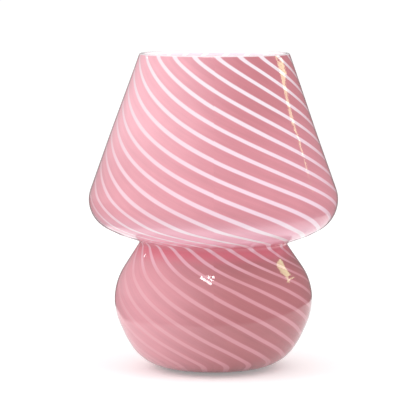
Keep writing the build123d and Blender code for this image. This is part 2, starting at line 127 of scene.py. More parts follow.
# Unevenness of a hand-made swirl at a height: degrees once round, a quarter turn on, and twice
stripe_wander = [
    (239, -5.9, -0.8, 0.1),
    (112, -15.6, -7.0, 5.0),
    (88, -10.6, -13.8, 3.6),
    (8, 0.2, 13.1, -5.0),
]
# Unevenness of the blown form: how far the crease and the rim are off, and how far that reaches
crease_drop = 0.8 * mm
crease_reach = 30.0 * mm
rim_lean = 0.8 * mm
rim_lean_reach = 70.0 * mm
# Steps of the mesh
around = 12 * stripe_count
along = 3.0 * mm
lip_steps = 10


# ---------------------------------------------------------------- helpers for shapes
def rounded(corners):
    """Points of a half section with its corners rounded, each with its outward normal."""
    samples = []
    for index, (corner, radius) in enumerate(corners):
        here = np.array(corner)
        before = np.array(corners[max(index - 1, 0)][0])
        after = np.array(corners[min(index + 1, len(corners) - 1)][0])
        if radius == 0:
            way = after - before
            way /= np.linalg.norm(way)
            samples.append((here, np.array((-way[1], way[0]))))
            continue
        back = (before - here) / np.linalg.norm(before - here)
        on = (after - here) / np.linalg.norm(after - here)
        half = acos(np.dot(back, on)) / 2
        middle = (back + on) / np.linalg.norm(back + on)
        centre = here + middle * radius / sin(half)
        start = here + back * radius / tan(half) - centre
        end = here + on * radius / tan(half) - centre
        first = atan2(start[1], start[0])
        turn = (atan2(end[1], end[0]) - first + pi) % (2 * pi) - pi
        side = -1 if turn > 0 else 1
        steps = max(4, ceil(abs(turn) / radians(4)))
        for step in range(steps + 1):
            angle = first + turn * step / steps
            ray = np.array((cos(angle), sin(angle)))
            samples.append((centre + radius * ray, side * ray))
    return samples


def divided(samples, longest):
    """The same points with straight runs divided, so that no step is longer than asked."""
    result = [samples[0]]
    for (start, first), (end, last) in zip(samples, samples[1:]):
        steps = max(1, ceil(np.linalg.norm(end - start) / longest))
        for step in range(1, steps + 1):
            share = step / steps
            result.append((start + (end - start) * share, first + (last - first) * share))
    return result


def new_object(name, data):
    piece = bpy.data.objects.new(name, data)
    bpy.context.scene.collection.objects.link(piece)
    return piece


def meshed(name, points, faces):
    mesh = bpy.data.meshes.new(name)
    mesh.from_pydata(points, [], faces)
    return new_object(name, mesh)


def formed(name, form):
    """A piece from a bmesh form, which is used up."""
    mesh = bpy.data.meshes.new(name)
    form.to_mesh(mesh)
    form.free()
    return new_object(name, mesh)


def turned(r, z, angle):
    return r * sin(angle), -r * cos(angle), z


def revolved(name, section, steps, shaped, mapping=None, map_name=None):
    """A closed section turned about the lamp's axis. shaped gives the place of a point from its
    radius, height and angle, and mapping gives (u, v) for a corner, from its number along the
    section and round the axis."""
    points = []
    for angle in [2 * pi * step / steps for step in range(steps)]:
        points += [shaped(r, z, angle) for r, z in section]
    count = len(section)
    faces = []
    for step in range(steps):
        this = step * count
        following = ((step + 1) % steps) * count
        for place in range(count):
            beyond = (place + 1) % count
            faces.append((this + place, this + beyond, following + beyond, following + place))
    piece = meshed(name, points, faces)
    if mapping:
        layer = piece.data.uv_layers.new(name=map_name)
        loop = 0
        for step in range(steps):
            for place in range(count):
                for near, round_to in ((place, step), (place + 1, step),
                                       (place + 1, step + 1), (place, step + 1)):
                    layer.data[loop].uv = mapping(near, round_to)
                    loop += 1
    piece.data.shade_smooth()
    piece.data.update()
    return piece


# ---------------------------------------------------------------- helpers for materials
class Paint:
    """A material with one Principled shader, and short ways to add nodes to it."""

    def __init__(self, name, **settings):
        self.material = bpy.data.materials.new(name)
        self.material.use_nodes = True
        self.tree = self.material.node_tree
        self.shader = self.tree.nodes["Principled BSDF"]
        for socket, value in settings.items():
            self.shader.inputs[socket.replace("_", " ")].default_value = value

    def node(self, kind, inputs=None, **settings):
        made = self.tree.nodes.new("ShaderNode" + kind)
        for setting, value in settings.items():
            setattr(made, setting, value)
        for socket, value in (inputs or {}).items():
            self.feed(made.inputs[socket], value)
        return made

    def feed(self, socket, value):
        if isinstance(value, bpy.types.NodeSocket):
            self.tree.links.new(value, socket)
        else:
            socket.default_value = value

    def set(self, socket, value):
        self.feed(self.shader.inputs[socket], value)

    def math(self, operation, *values):
        made = self.node("Math", operation=operation)
        for index, value in enumerate(values):
            self.feed(made.inputs[index], value)
        return made.outputs[0]

    def blend(self, first, first_share, second, second_share):
        """Two values added, each times its share."""
        first_part = self.math("MULTIPLY", first, first_share)
        second_part = self.math("MULTIPLY", second, second_share)
        return self.math("ADD", first_part, second_part)

    def position(self):
        return self.node("TexCoord").outputs["Object"]

    def noise(self, vector, scale, detail=2.0, roughness=0.5):
        inputs = {"Vector": vector, "Scale": scale, "Detail": detail, "Roughness": roughness}
        return self.node("TexNoise", inputs).outputs["Fac"]

    def stretched(self, vector, scale):
        inputs = {0: vector, 1: scale}
        return self.node("VectorMath", inputs, operation="MULTIPLY").outputs[0]

    def between(self, value, low, high, to_low=0.0, to_high=1.0, smooth=False):
        kind = "SMOOTHSTEP" if smooth else "LINEAR"
        inputs = {0: value, 1: low, 2: high, 3: to_low, 4: to_high}
        return self.node("MapRange", inputs, interpolation_type=kind).outputs[0]

    def mix(self, factor, first, second):
        made = self.node("Mix", data_type="RGBA")
        self.feed(made.inputs[0], factor)
        self.feed(made.inputs[6], first)
        self.feed(made.inputs[7], second)
        return made.outputs[2]

    def ramp(self, value, stops):
        made = self.node("ValToRGB", {"Fac": value})
        ramp = made.color_ramp
        ramp.interpolation = "EASE"
        ramp.elements[0].position = stops[0][0]
        ramp.elements[0].color = stops[0][1]
        ramp.elements[1].position = stops[-1][0]
        ramp.elements[1].color = stops[-1][1]
        for place, colour in stops[1:-1]:
            ramp.elements.new(place).color = colour
        return made.outputs["Color"]

    def bump(self, height, strength, distance):
        """Relief on top of any that the shader has already."""
        inputs = {"Height": height, "Strength": strength, "Distance": distance}
        made = self.node("Bump", inputs)
        for link in list(self.shader.inputs["Normal"].links):
            self.tree.links.new(link.from_socket, made.inputs["Normal"])
        self.set("Normal", made.outputs[0])


def colour(red, green, blue):
    """A colour given as it is seen on a screen, 0 to 255."""
    def linear(value):
        share = value / 255
        return share / 12.92 if share <= 0.04045 else ((share + 0.055) / 1.055) ** 2.4
    return (linear(red), linear(green), linear(blue), 1.0)


def dress(piece, paint):
    piece.data.materials.clear()
    piece.data.materials.append(paint.material)


# ---------------------------------------------------------------- glass
def rounded_lip():
    """The lip rounds over from the outside to the inside at the wall's thickness."""
    normal = outside[0][1]
    way = np.array((normal[1], -normal[0]))
    centre = np.array((rim_radius, rim_z)) - normal * wall / 2
    centre = centre + way * (centre[1] - (rim_z - wall / 2)) / -way[1]
    points = []
    for step in range(lip_steps + 1):
        angle = pi * (step / lip_steps - 0.5)
        ray = -sin(angle) * normal - cos(angle) * way
        points.append(centre + ray * wall / 2)
    return points


def inner_skin():
    """The inside runs down the wall to the floor, which is thicker and follows the kick-up."""
    floor_z = foot_z + floor_thickness
    points = []
    for point, normal in below_lip:
        inner = point - normal * wall
        if inner[1] < floor_z:
            break
        points.append(inner)
    floor_corners = [
        ((points[-1][0] - wall / 2, floor_z), 0.0),
        ((kick_mouth_radius + floor_thickness / 2, floor_z), kick_rounding),
        ((kick_seat_radius + floor_thickness / 2, glass_seat_z), kick_rounding),
        ((bolt_hole_radius, glass_seat_z), 0.0),
    ]
    return points + [point for point, normal in divided(rounded(floor_corners), 2 * along)]


def distances(points):
    """How far each point is from the first, along the line through them all."""
    result = [0.0]
    for start, end in zip(points, points[1:]):
        result.append(result[-1] + hypot(end[0] - start[0], end[1] - start[1]))
    return result


# One closed section: out from the top of the lip, down the outside and back up the inside
outside = divided(rounded(outside_corners), along)
lip = rounded_lip()
half_lip = lip_steps // 2
below_lip = [sample for sample in outside if sample[0][1] < lip[0][1] - along / 4]
outer_run = lip[half_lip::-1] + [point for point, normal in below_lip]
outer_count = len(outer_run)
section = outer_run + inner_skin()[::-1] + lip[:half_lip:-1]
section = [tuple(point) for point in section]

# Distance along the surface from the top of the lip; the inside counts downwards from nought
outer_distances = distances(section[:outer_count])
inner_distances = [-far for far in distances(section[:1] + section[:outer_count - 1:-1])]
section_distances = outer_distances + inner_distances[:0:-1] + [0.0]
section_heights = [(z - foot_z) / mm for r, z in section + section[:1]]
outer_heights = np.array(section_heights[:outer_count])


def column(table, index, height):
    """A column of a table, read at a height above the foot in millimetres."""
    rising = table[::-1]
    return np.interp(height, [row[0] for row in rising], [row[index] for row in rising])


def evened_turn():
    """How far the stripes have turned at each point of the outside, evened along the glass."""
    fine = np.arange(0.0, outer_distances[-1], mm)
    turn = column(stripe_turn, 1, np.interp(fine, outer_distances, outer_heights))
    evening = np.hanning(2 * evening_reach + 1)
    padded = np.pad(turn, evening_reach, mode="reflect", reflect_type="odd")
    turn = np.convolve(padded, evening / evening.sum(), mode="valid")
    return np.interp(outer_distances, fine, turn)


# The inside carries the same stripes as the outside at the same level, seen through the wall
outer_turn = evened_turn()
inner_turn = [np.interp(-height, -outer_heights, outer_turn)
              for height in section_heights[outer_count:-1]]
section_turns = [*outer_turn, *inner_turn, outer_turn[0]]


def wander_at(height, angle):
    once, quarter, twice = (column(stripe_wander, index, height) for index in (1, 2, 3))
    return (cos(angle) - 1) * once + sin(angle) * quarter + sin(2 * angle) * twice


def swirl_map(place, step):
    """u counts stripes, v is the distance from the lip in millimetres."""
    wander = wander_at(section_heights[place], 2 * pi * step / around)
    turned_by = stripe_start + section_turns[place] + wander
    return (360 * step / around - turned_by) / stripe_spacing, section_distances[place] / mm


def smooth(share):
    share = min(1.0, max(0.0, share))
    return share * share * (3 - 2 * share)


def blown(r, z, angle):
    """Blown by hand: the crease lies lower to the right, and the rim leans that way."""
    near_crease = smooth(1 - abs(z - waist_z) / crease_reach)
    near_rim = smooth((z - rim_z) / rim_lean_reach + 1)
    x, y, z = turned(r, z - crease_drop * sin(angle) * near_crease, angle)
    return x + rim_lean * near_rim, y, z


def cord_drill():
    """A rod square to the lower flank at the back, where the hole for the cord is."""
    inwards = flank_radius - foot_radius
    down = flank_z - foot_z
    form = bmesh.new()
    bmesh.ops.create_cone(
        form, cap_ends=True, segments=48, radius1=cord_hole_radius, radius2=cord_hole_radius,
        depth=6 * wall)
    rod = formed("drill", form)
    rod.location = (0, flank_radius - cord_hole_place * inwards, flank_z - cord_hole_place * down)
    rod.rotation_mode = "QUATERNION"
    rod.rotation_quaternion = Vector((0, 0, 1)).rotation_difference(Vector((0, down, -inwards)))
    return rod


def cut(piece, tool):
    """Takes the tool's shape out of a piece, and the tool away."""
    bpy.context.view_layer.update()
    cutting = piece.modifiers.new("cut", "BOOLEAN")
    cutting.object = tool
    cutting.operation = "DIFFERENCE"
    graph = bpy.context.evaluated_depsgraph_get()
    mesh = bpy.data.meshes.new_from_object(piece.evaluated_get(graph), depsgraph=graph)
    piece.modifiers.clear()
    piece.data = mesh
    bpy.data.objects.remove(tool)


glass = revolved("swirl_glass_body", section, around, blown, swirl_map, "swirl")
cut(glass, cord_drill())

# Colours of the cased glass: its pink and its stripes, with painted light and shade on them:
# lighter on the lit left, deeper at the top right, paler underneath, up the neck and inside, deeper
# under the crease, and a dark outline
shade_pink = colour(221, 150, 161)
# Painted light: the shade's pink, lighter on the left where the light falls
shade_lit_left_pink = colour(252, 190, 202)
# Painted shade: the shade's pink, deeper at the top right
shade_painted_shade_pink = colour(205, 130, 139)
shade_stripe = colour(252, 223, 237)
# Painted light and shade: the shade's stripes on the lit left side
shade_lit_left_stripe = colour(249, 214, 225)
rim_stripe = colour(248, 240, 246)
base_rose = colour(186, 120, 125)
# Painted light: the base's rose, lighter on the left where the light falls
base_lit_left_rose = colour(232, 166, 176)
base_stripe = colour(221, 160, 169)
# Painted light: the base's stripes, lighter on the left
base_lit_left_stripe = colour(238, 180, 189)
# Painted light: the base's stripes, lighter up the neck
neck_painted_light_stripe = colour(255, 214, 228)
# Deeper pink beside each stripe, and the painted shade under the crease
crimson_edges_and_crease_shade = colour(240, 141, 158)
# Painted light: the inside, paler where light comes through the walls
inside_painted_light_pink = colour(252, 222, 229)
inside_painted_light_stripe = colour(255, 250, 252)
lip_white = colour(252, 246, 249)
# Painted dark reflection along the outline of the glass
painted_dark_edge_grey = colour(120, 104, 98)
# Painted light: the underside of the shade, paler where light comes from below
underside_painted_light_pink = colour(255, 203, 220)
underside_painted_light_stripe = colour(255, 252, 255)


def shade_and_base(paint, place, above_waist, lit_underneath):
    """The pink and the stripe colour at each place, before any unevenness, with painted light and
    shade: lighter on the lit left, deeper at the top right and paler underneath the shade.
    """
    # Painted light and shade: the colours change from the lit left side to the right
    rightward = paint.between(place[0], -65 * mm, 25 * mm, smooth=True)
    upward = paint.between(place[2], brim_z + 20 * mm, rim_z, smooth=True)
    leftward = paint.math("SUBTRACT", 1.0, rightward)
    # Painted light, strongest at the upper left
    painted_left_light = paint.math("MULTIPLY", leftward, paint.between(upward, 0.0, 0.5, 0.35, 1.0))
    # Painted shade, deeper towards the top right
    toward_shaded_right = paint.between(place[0], -20 * mm, 40 * mm, smooth=True)
    shade = paint.mix(painted_left_light, shade_pink, shade_lit_left_pink)
    shade = paint.mix(paint.math("MULTIPLY", upward, toward_shaded_right), shade, shade_painted_shade_pink)
    shade_line = paint.mix(rightward, shade_lit_left_stripe, shade_stripe)
    shade_line = paint.mix(paint.math("MULTIPLY", upward, 0.8), shade_line, rim_stripe)
    # Painted light: paler underneath the shade
    shade = paint.mix(lit_underneath, shade, underside_painted_light_pink)
    shade_line = paint.mix(lit_underneath, shade_line, underside_painted_light_stripe)
    base = paint.mix(rightward, base_lit_left_rose, base_rose)
    # Painted light: stripes lighter up the neck
    up_the_neck = paint.between(place[2], belly_z + 20 * mm, waist_z - 2 * mm)
    base_line = paint.mix(rightward, base_lit_left_stripe, base_stripe)
    base_line = paint.mix(up_the_neck, base_line, neck_painted_light_stripe)
    return paint.mix(above_waist, base, shade), paint.mix(above_waist, base_line, shade_line)


def stripes(paint, swirl):
    """How much of a stripe each place has, and how near it lies to one."""
    phase = paint.node("SeparateXYZ", {0: swirl}).outputs[0]
    uneven = paint.noise(paint.stretched(swirl, (0.9, 0.022, 1.0)), 1.0, 3.0)
    edge_wander = paint.between(uneven, 0.25, 0.75, -stripe_raggedness, stripe_raggedness)
    off_stripe = paint.math("PINGPONG", paint.math("ADD", phase, edge_wander), 0.5)
    stripe = paint.between(off_stripe, stripe_full, stripe_gone, 1.0, 0.0, smooth=True)
    beside = paint.between(off_stripe, beside_full, beside_gone, 1.0, 0.0, smooth=True)
    return stripe, beside


def clouded(paint, field, swirl, beside):
    """The pink is a little deeper beside each stripe, and cloudy along the swirl."""
    field = paint.mix(paint.math("MULTIPLY", beside, 0.10), field, crimson_edges_and_crease_shade)
    streaks = paint.noise(paint.stretched(swirl, (3.2, 0.030, 1.0)), 1.0, 4.0)
    cloud = paint.noise(paint.position(), 38.0, 3.0)
    tint = paint.blend(streaks, 0.6, cloud, 0.4)
    level = paint.between(tint, 0.3, 0.7, 0.93, 1.07)
    return paint.node("HueSaturation", {"Color": field, "Value": level}).outputs[0]


def painted_crease_shade(paint, field, place, above_waist):
    """Painted shade: the pink is deepest just under the crease, where the shade overhangs the base.
    """
    crease_shade_reach = paint.between(place[2], waist_z - 13 * mm, waist_z - 3 * mm, 0.0, 0.85, smooth=True)
    below_waist = paint.math("SUBTRACT", 1.0, above_waist)
    return paint.mix(paint.math("MULTIPLY", crease_shade_reach, below_waist), field, crimson_edges_and_crease_shade)


def seen_aslant(paint, glass_colour, field, place, lit_underneath):
    """Seen aslant, the pink casing lies deeper over the stripes, and a painted dark reflection runs
    along the outline.
    """
    aslant = paint.node("LayerWeight", {"Blend": 0.5}).outputs["Facing"]
    covered = paint.between(aslant, 0.30, 0.90, 0.0, 0.45, smooth=True)
    covered = paint.math("MULTIPLY", covered, paint.math("SUBTRACT", 1.0, lit_underneath))
    glass_colour = paint.mix(covered, glass_colour, field)
    off_crease = paint.math("ABSOLUTE", paint.math("SUBTRACT", place[2], waist_z + 2 * mm))
    outlined = paint.between(off_crease, 8 * mm, 14 * mm, 0.0, 0.75)
    # Painted dark reflection at the outline, kept off the crease
    edge = paint.math("MULTIPLY", paint.between(aslant, 0.80, 0.97, smooth=True), outlined)
    return paint.mix(edge, glass_colour, painted_dark_edge_grey)


def inside_and_lip(paint, glass_colour, swirl, stripe):
    """The inside is painted paler, as painted light that comes through the walls, and the lip is
    clear skin that shows white.
    """
    depth = paint.node("SeparateXYZ", {0: swirl}).outputs[1]
    inside = paint.between(depth, -0.5, 0.5, 1.0, 0.0)
    seen_inside = paint.mix(stripe, inside_painted_light_pink, inside_painted_light_stripe)
    glass_colour = paint.mix(inside, glass_colour, seen_inside)
    off_lip = paint.math("ABSOLUTE", depth)
    on_lip = paint.between(off_lip, 1.9, 2.9, 1.0, 0.0, smooth=True)
    return paint.mix(on_lip, glass_colour, lip_white)


def blown_skin(paint, swirl):
    """Low waves from blowing, ripples along the swirl and smudges from handling."""
    waves = paint.noise(paint.stretched(paint.position(), (1.0, 1.0, 0.6)), 26.0)
    ripple = paint.noise(paint.stretched(swirl, (1.0, 0.05, 1.0)), 1.0)
    paint.bump(paint.blend(waves, 0.7, ripple, 0.3), 0.35, 1.2 * mm)
    smudge = paint.noise(paint.position(), 90.0, 4.0, 0.6)
    paint.set("Roughness", paint.between(smudge, 0.35, 0.75, 0.03, 0.085))


def swirled_glass():
    paint = Paint("swirl_glass", IOR=1.5)
    place = paint.node("SeparateXYZ", {0: paint.position()}).outputs
    swirl = paint.node("UVMap", uv_map="swirl").outputs[0]
    above_waist = paint.between(place[2], waist_z - 2 * mm, waist_z + 5 * mm, smooth=True)
    # Where the painted light underneath the shade lies
    lit_underneath = paint.between(place[2], underside_z, brim_z + 9 * mm, 1.0, 0.0, smooth=True)
    lit_underneath = paint.math("MULTIPLY", lit_underneath, above_waist)
    stripe, beside = stripes(paint, swirl)
    field, line = shade_and_base(paint, place, above_waist, lit_underneath)
    field = clouded(paint, field, swirl, beside)
    # Painted shade under the crease
    field = painted_crease_shade(paint, field, place, above_waist)
    glass_colour = paint.mix(stripe, field, line)
    glass_colour = seen_aslant(paint, glass_colour, field, place, lit_underneath)
    glass_colour = inside_and_lip(paint, glass_colour, swirl, stripe)
    paint.set("Base Color", glass_colour)
    blown_skin(paint, swirl)
    return paint


dress(glass, swirled_glass())
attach(glass, "lamp")
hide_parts("glass_body")


# ---------------------------------------------------------------- rolled thread of cap and shell
e14_pitch = 2.822 * mm
e14_depth = 0.25 * mm
cap_metal = 0.4 * mm
cap_plain_below = 0.6 * mm
cap_plain_above = 1.2 * mm
shell_metal = 0.5 * mm
shell_hole = 3.8 * mm
shell_plain_below = 4.5 * mm
shell_plain_above = 0.5 * mm
thread_fade = 1.0 * mm
rows_per_pitch = 10
thread_steps = 60


def threaded(name, section, first, last):
    """A turned section with the round E14 thread rolled into it between two heights."""
    def rolled(r, z, angle):
        fade = smooth((z - first) / thread_fade) * smooth((last - z) / thread_fade)
        return turned(r + e14_depth * fade * cos(angle - 2 * pi * z / e14_pitch), z, angle)
    return revolved(name, section, thread_steps, rolled)


def heights_between(low, high):
    rows = ceil((high - low) / e14_pitch * rows_per_pitch)
    return [low + (high - low) * row / rows for row in range(rows + 1)]


def threaded_cap():
    low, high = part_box("bulb_cap")
    outer = high[0]
    inner = outer - cap_metal
    up = heights_between(low[2], high[2])
    section = [(outer, z) for z in up[::-1]] + [(inner, z) for z in up]
    first, last = low[2] + cap_plain_below, high[2] - cap_plain_above
    return threaded("threaded_bulb_cap", section, first, last)


def threaded_shell():
    low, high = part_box("thread_shell")
    outer = high[0]
    floor_top_z = low[2] + shell_metal
    section = [(outer, z) for z in heights_between(low[2], high[2])[::-1]]
    section += [(shell_hole, low[2]), (shell_hole, floor_top_z)]
    section += [(outer - shell_metal, z) for z in heights_between(floor_top_z, high[2])]
    first, last = low[2] + shell_plain_below, high[2] - shell_plain_above
    return threaded("threaded_shell", section, first, last)


# ---------------------------------------------------------------- the sprung contact's spring
wire_radius = 0.25 * mm
spring_turns = 7
closed_turns = 1
spring_steps = 40
wire_sides = 10


def wound_spring():
    """The plunger's spring: one wire, wound with a closed coil at each end."""
    low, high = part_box("plunger_spring")
    winding = high[0] - wire_radius
    bottom, top = low[2] + wire_radius, high[2] - wire_radius
    closed = closed_turns * 2 * wire_radius
    turns = [0, closed_turns, spring_turns - closed_turns, spring_turns]
    levels = [bottom, bottom + closed, top - closed, top]
    around_wire = [2 * pi * side / wire_sides for side in range(wire_sides)]
    points = []
    for turn in np.linspace(0, spring_turns, spring_steps * spring_turns + 1):
        angle = 2 * pi * turn
        height = float(np.interp(turn, turns, levels))
        for side in around_wire:
            r = winding + wire_radius * cos(side)
            points.append((r * cos(angle), r * sin(angle), height + wire_radius * sin(side)))
    faces = []
    for ring in range(0, len(points) - wire_sides, wire_sides):
        for side in range(wire_sides):
            here, beyond = ring + side, ring + (side + 1) % wire_sides
            faces.append((here, beyond, beyond + wire_sides, here + wire_sides))
    faces.append(range(wire_sides))
    faces.append(range(len(points) - 1, len(points) - wire_sides - 1, -1))
    piece = meshed("wound_plunger_spring", points, faces)
    form = bmesh.new()
    form.from_mesh(piece.data)
    bmesh.ops.recalc_face_normals(form, faces=form.faces)
    form.to_mesh(piece.data)
    form.free()
    piece.data.shade_smooth()
    return piece


# ---------------------------------------------------------------- finishes of the fittings
screw_pitch = 1.0 * mm
screw_relief = 0.6 * screw_pitch
bolt_thread_reach = 3.1 * mm
nipple_thread_reach = 5.2 * mm


def metal(name, tints, roughness, grain_stretch, grain_scale):
    """A bare or plated metal: clouds of tint, and lines left by drawing or turning."""
    paint = Paint(name, Metallic=1.0)
    where = paint.position()
    clouds = paint.noise(where, 240.0, 3.0)
    dark, even, light = tints
    paint.set("Base Color", paint.ramp(clouds, [(0.34, dark), (0.5, even), (0.68, light)]))
    grain = paint.noise(paint.stretched(where, grain_stretch), grain_scale, 3.0)
    paint.set("Roughness", paint.between(grain, 0.3, 0.7, *roughness))
    paint.bump(grain, 0.25, 0.03 * mm)
    return paint


def screw_thread(paint, within):
    """Relief of a right-hand thread about the lamp's axis, on what lies within a radius."""
    x, y, z = paint.node("SeparateXYZ", {0: paint.position()}).outputs
    angle = paint.math("ARCTAN2", y, x)
    climb = paint.math("MULTIPLY", z, 2 * pi / screw_pitch)
    ridge = paint.math("COSINE", paint.math("SUBTRACT", angle, climb))
    squares = [paint.math("POWER", side, 2.0) for side in (x, y)]
    away = paint.math("SQRT", paint.math("ADD", *squares))
    on_thread = paint.between(away, within, within + 0.1 * mm, 0.5, 0.0)
    paint.bump(paint.math("MULTIPLY", ridge, on_thread), 1.0, screw_relief)
    return paint


def zinc_steel(name="zinc_steel"):
    tints = ((0.56, 0.58, 0.63, 1), (0.68, 0.69, 0.71, 1), (0.72, 0.69, 0.60, 1))
    return metal(name, tints, roughness=(0.22, 0.42), grain_stretch=(1.0, 1.0, 0.06),
                 grain_scale=2600.0)


def spring_steel():
    tints = ((0.48, 0.49, 0.52, 1), (0.58, 0.59, 0.61, 1), (0.62, 0.58, 0.52, 1))
    return metal("spring_steel", tints, roughness=(0.16, 0.30), grain_stretch=(1.0, 1.0, 0.3),
                 grain_scale=4000.0)


def brass(name="brass"):
    tints = ((0.66, 0.44, 0.15, 1), (0.78, 0.57, 0.23, 1), (0.84, 0.66, 0.32, 1))
    return metal(name, tints, roughness=(0.14, 0.30), grain_stretch=(0.04, 0.04, 1.0),
                 grain_scale=5000.0)


def bulb_metal():
    tints = ((0.62, 0.61, 0.60, 1), (0.73, 0.72, 0.70, 1), (0.78, 0.76, 0.72, 1))
    return metal("bulb_metal", tints, roughness=(0.10, 0.26), grain_stretch=(0.05, 0.05, 1.0),
                 grain_scale=4200.0)


def moulded(name, tones, roughness, peel_scale, peel_height, **settings):
    """A moulded, pressed or fired surface: two tones flowing into each other, and its skin."""
    paint = Paint(name, **settings)
    where = paint.position()
    flow = paint.noise(paint.stretched(where, (1.0, 1.0, 0.4)), 120.0, 4.0, 0.55)
    paint.set("Base Color", paint.ramp(flow, [(0.35, tones[0]), (0.65, tones[1])]))
    skin = paint.noise(where, peel_scale, 2.0)
    paint.set("Roughness", paint.between(skin, 0.3, 0.7, *roughness))
    paint.bump(skin, 0.4, peel_height)
    return paint


def white_plastic():
    tones = ((0.80, 0.785, 0.74, 1), (0.86, 0.85, 0.81, 1))
    return moulded("white_plastic", tones, roughness=(0.20, 0.34), peel_scale=1100.0,
                   peel_height=0.05 * mm)


def bulb_plastic():
    tones = ((0.83, 0.83, 0.81, 1), (0.88, 0.88, 0.87, 1))
    return moulded("bulb_plastic", tones, roughness=(0.38, 0.52), peel_scale=3000.0,
                   peel_height=0.04 * mm)


def opal_diffuser():
    tones = ((0.86, 0.86, 0.83, 1), (0.92, 0.92, 0.90, 1))
    return moulded("opal_diffuser", tones, roughness=(0.30, 0.44), peel_scale=1800.0,
                   peel_height=0.03 * mm)


def white_silicone():
    tones = ((0.76, 0.76, 0.74, 1), (0.83, 0.83, 0.82, 1))
    return moulded("white_silicone", tones, roughness=(0.55, 0.72), peel_scale=2400.0,
                   peel_height=0.06 * mm)


def bulb_glass_black():
    tones = ((0.008, 0.006, 0.010, 1), (0.022, 0.014, 0.026, 1))
    return moulded("bulb_glass_black", tones, roughness=(0.06, 0.18), peel_scale=500.0,
                   peel_height=0.05 * mm)


def clear_silicone():
    tones = ((0.86, 0.88, 0.87, 1), (0.93, 0.94, 0.93, 1))
    return moulded("clear_silicone", tones, roughness=(0.12, 0.26), peel_scale=900.0,
                   peel_height=0.04 * mm, Transmission_Weight=0.8, IOR=1.41)


def clear_grommet():
    tones = ((0.70, 0.67, 0.65, 1), (0.80, 0.78, 0.77, 1))
    return moulded("clear_grommet", tones, roughness=(0.28, 0.42), peel_scale=1400.0,
                   peel_height=0.05 * mm, Transmission_Weight=0.4, IOR=1.43)


def ceramic():
    """White ware under a clear glaze, with the odd speck from the clay."""
    tones = ((0.80, 0.78, 0.73, 1), (0.87, 0.86, 0.82, 1))
    paint = moulded("ceramic", tones, roughness=(0.30, 0.45), peel_scale=700.0,
                    peel_height=0.05 * mm, Coat_Weight=0.8, Coat_Roughness=0.06)
    clay = paint.shader.inputs["Base Color"].links[0].from_socket
    specks = paint.between(paint.noise(paint.position(), 1500.0, 1.0), 0.74, 0.78)
    paint.set("Base Color", paint.mix(specks, clay, (0.30, 0.24, 0.18, 1)))
    return paint


def circuit_board():
    """White solder mask over copper tracks, which show through as faint raised lines."""
    paint = Paint("circuit_board", Roughness=0.35)
    where = paint.position()
    cells = {"Vector": where, "Scale": 300.0, "Randomness": 0.6}
    web = paint.node("TexVoronoi", cells, feature="DISTANCE_TO_EDGE").outputs["Distance"]
    track = paint.between(web, 0.05, 0.12, 1.0, 0.0)
    copper = paint.math("MULTIPLY", track, 0.5)
    mask = paint.mix(paint.noise(where, 200.0), (0.80, 0.80, 0.77, 1), (0.88, 0.88, 0.86, 1))
    paint.set("Base Color", paint.mix(copper, mask, (0.62, 0.60, 0.48, 1)))
    paint.bump(track, 0.5, 0.05 * mm)
    return paint


def led_phosphor():
    """Yellow phosphor grains in clear silicone."""
    paint = Paint("led_phosphor", Coat_Weight=0.7, Coat_Roughness=0.1)
    grains = paint.noise(paint.position(), 5000.0, 2.0)
    stops = [(0.38, (0.80, 0.52, 0.06, 1)), (0.62, (0.93, 0.74, 0.18, 1))]
    paint.set("Base Color", paint.ramp(grains, stops))
    paint.set("Roughness", paint.between(grains, 0.3, 0.7, 0.35, 0.55))
    return paint


cap = threaded_cap()
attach(cap, "bulb")
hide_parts("bulb_cap")
shell = threaded_shell()
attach(shell, "lamp")
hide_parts("thread_shell")
spring = wound_spring()
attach(spring, "lamp")
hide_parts("plunger_spring")
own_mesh(spring)

finishes = {
    "zinc_steel": zinc_steel(),
    "spring_steel": spring_steel(),
    "brass": brass(),
    "bulb_metal": bulb_metal(),
    "white_plastic": white_plastic(),
    "bulb_plastic": bulb_plastic(),
    "opal_diffuser": opal_diffuser(),
    "white_silicone": white_silicone(),
    "bulb_glass_black": bulb_glass_black(),
    "clear_silicone": clear_silicone(),
    "clear_grommet": clear_grommet(),
    "ceramic": ceramic(),
    "circuit_board": circuit_board(),
    "led_phosphor": led_phosphor(),
}
for part in frame["record"]["subparts"]:
    if part["material_slot"] in finishes:
        dress(nodes[part["node"]], finishes[part["material_slot"]])
dress(cap, finishes["bulb_metal"])
dress(shell, finishes["brass"])
dress(spring, finishes["spring_steel"])
dress(nodes["fixing_bolt"], screw_thread(zinc_steel("zinc_bolt"), bolt_thread_reach))
dress(nodes["holder_nipple"], screw_thread(brass("brass_nipple"), nipple_thread_reach))


# ---------------------------------------------------------------- studio
middle = Vector((0, 0, 0.12))
ambient_light = 0.86
floor_half = 20.0
floor_lift = 0.27
room_radius = 2.5

# Daylight that comes through the walls of the real glass: places and powers of weak lights in it
glow_size = 0.015
shade_glow = 0.07
shade_glow_z = 0.212
base_glow = 0.006
base_glow_z = 0.062
base_glow_radius = 0.042

# How far the white board under the lamp reaches, by azimuth in degrees, as reflections show it.
# The table beyond it is dark
board_edge = [
    (-180, 0.400), (-150, 0.300), (-131, 0.220), (-111, 0.150), (-90, 0.135), (-63, 0.129),
    (-35, 0.132), (-12, 0.124), (15, 0.137), (44, 0.150), (63, 0.180), (77, 0.205),
    (94, 0.250), (104, 0.290), (126, 0.380), (150, 0.400), (180, 0.400),
]
board_fade = 1.12
table_top_z = 1.0 * mm

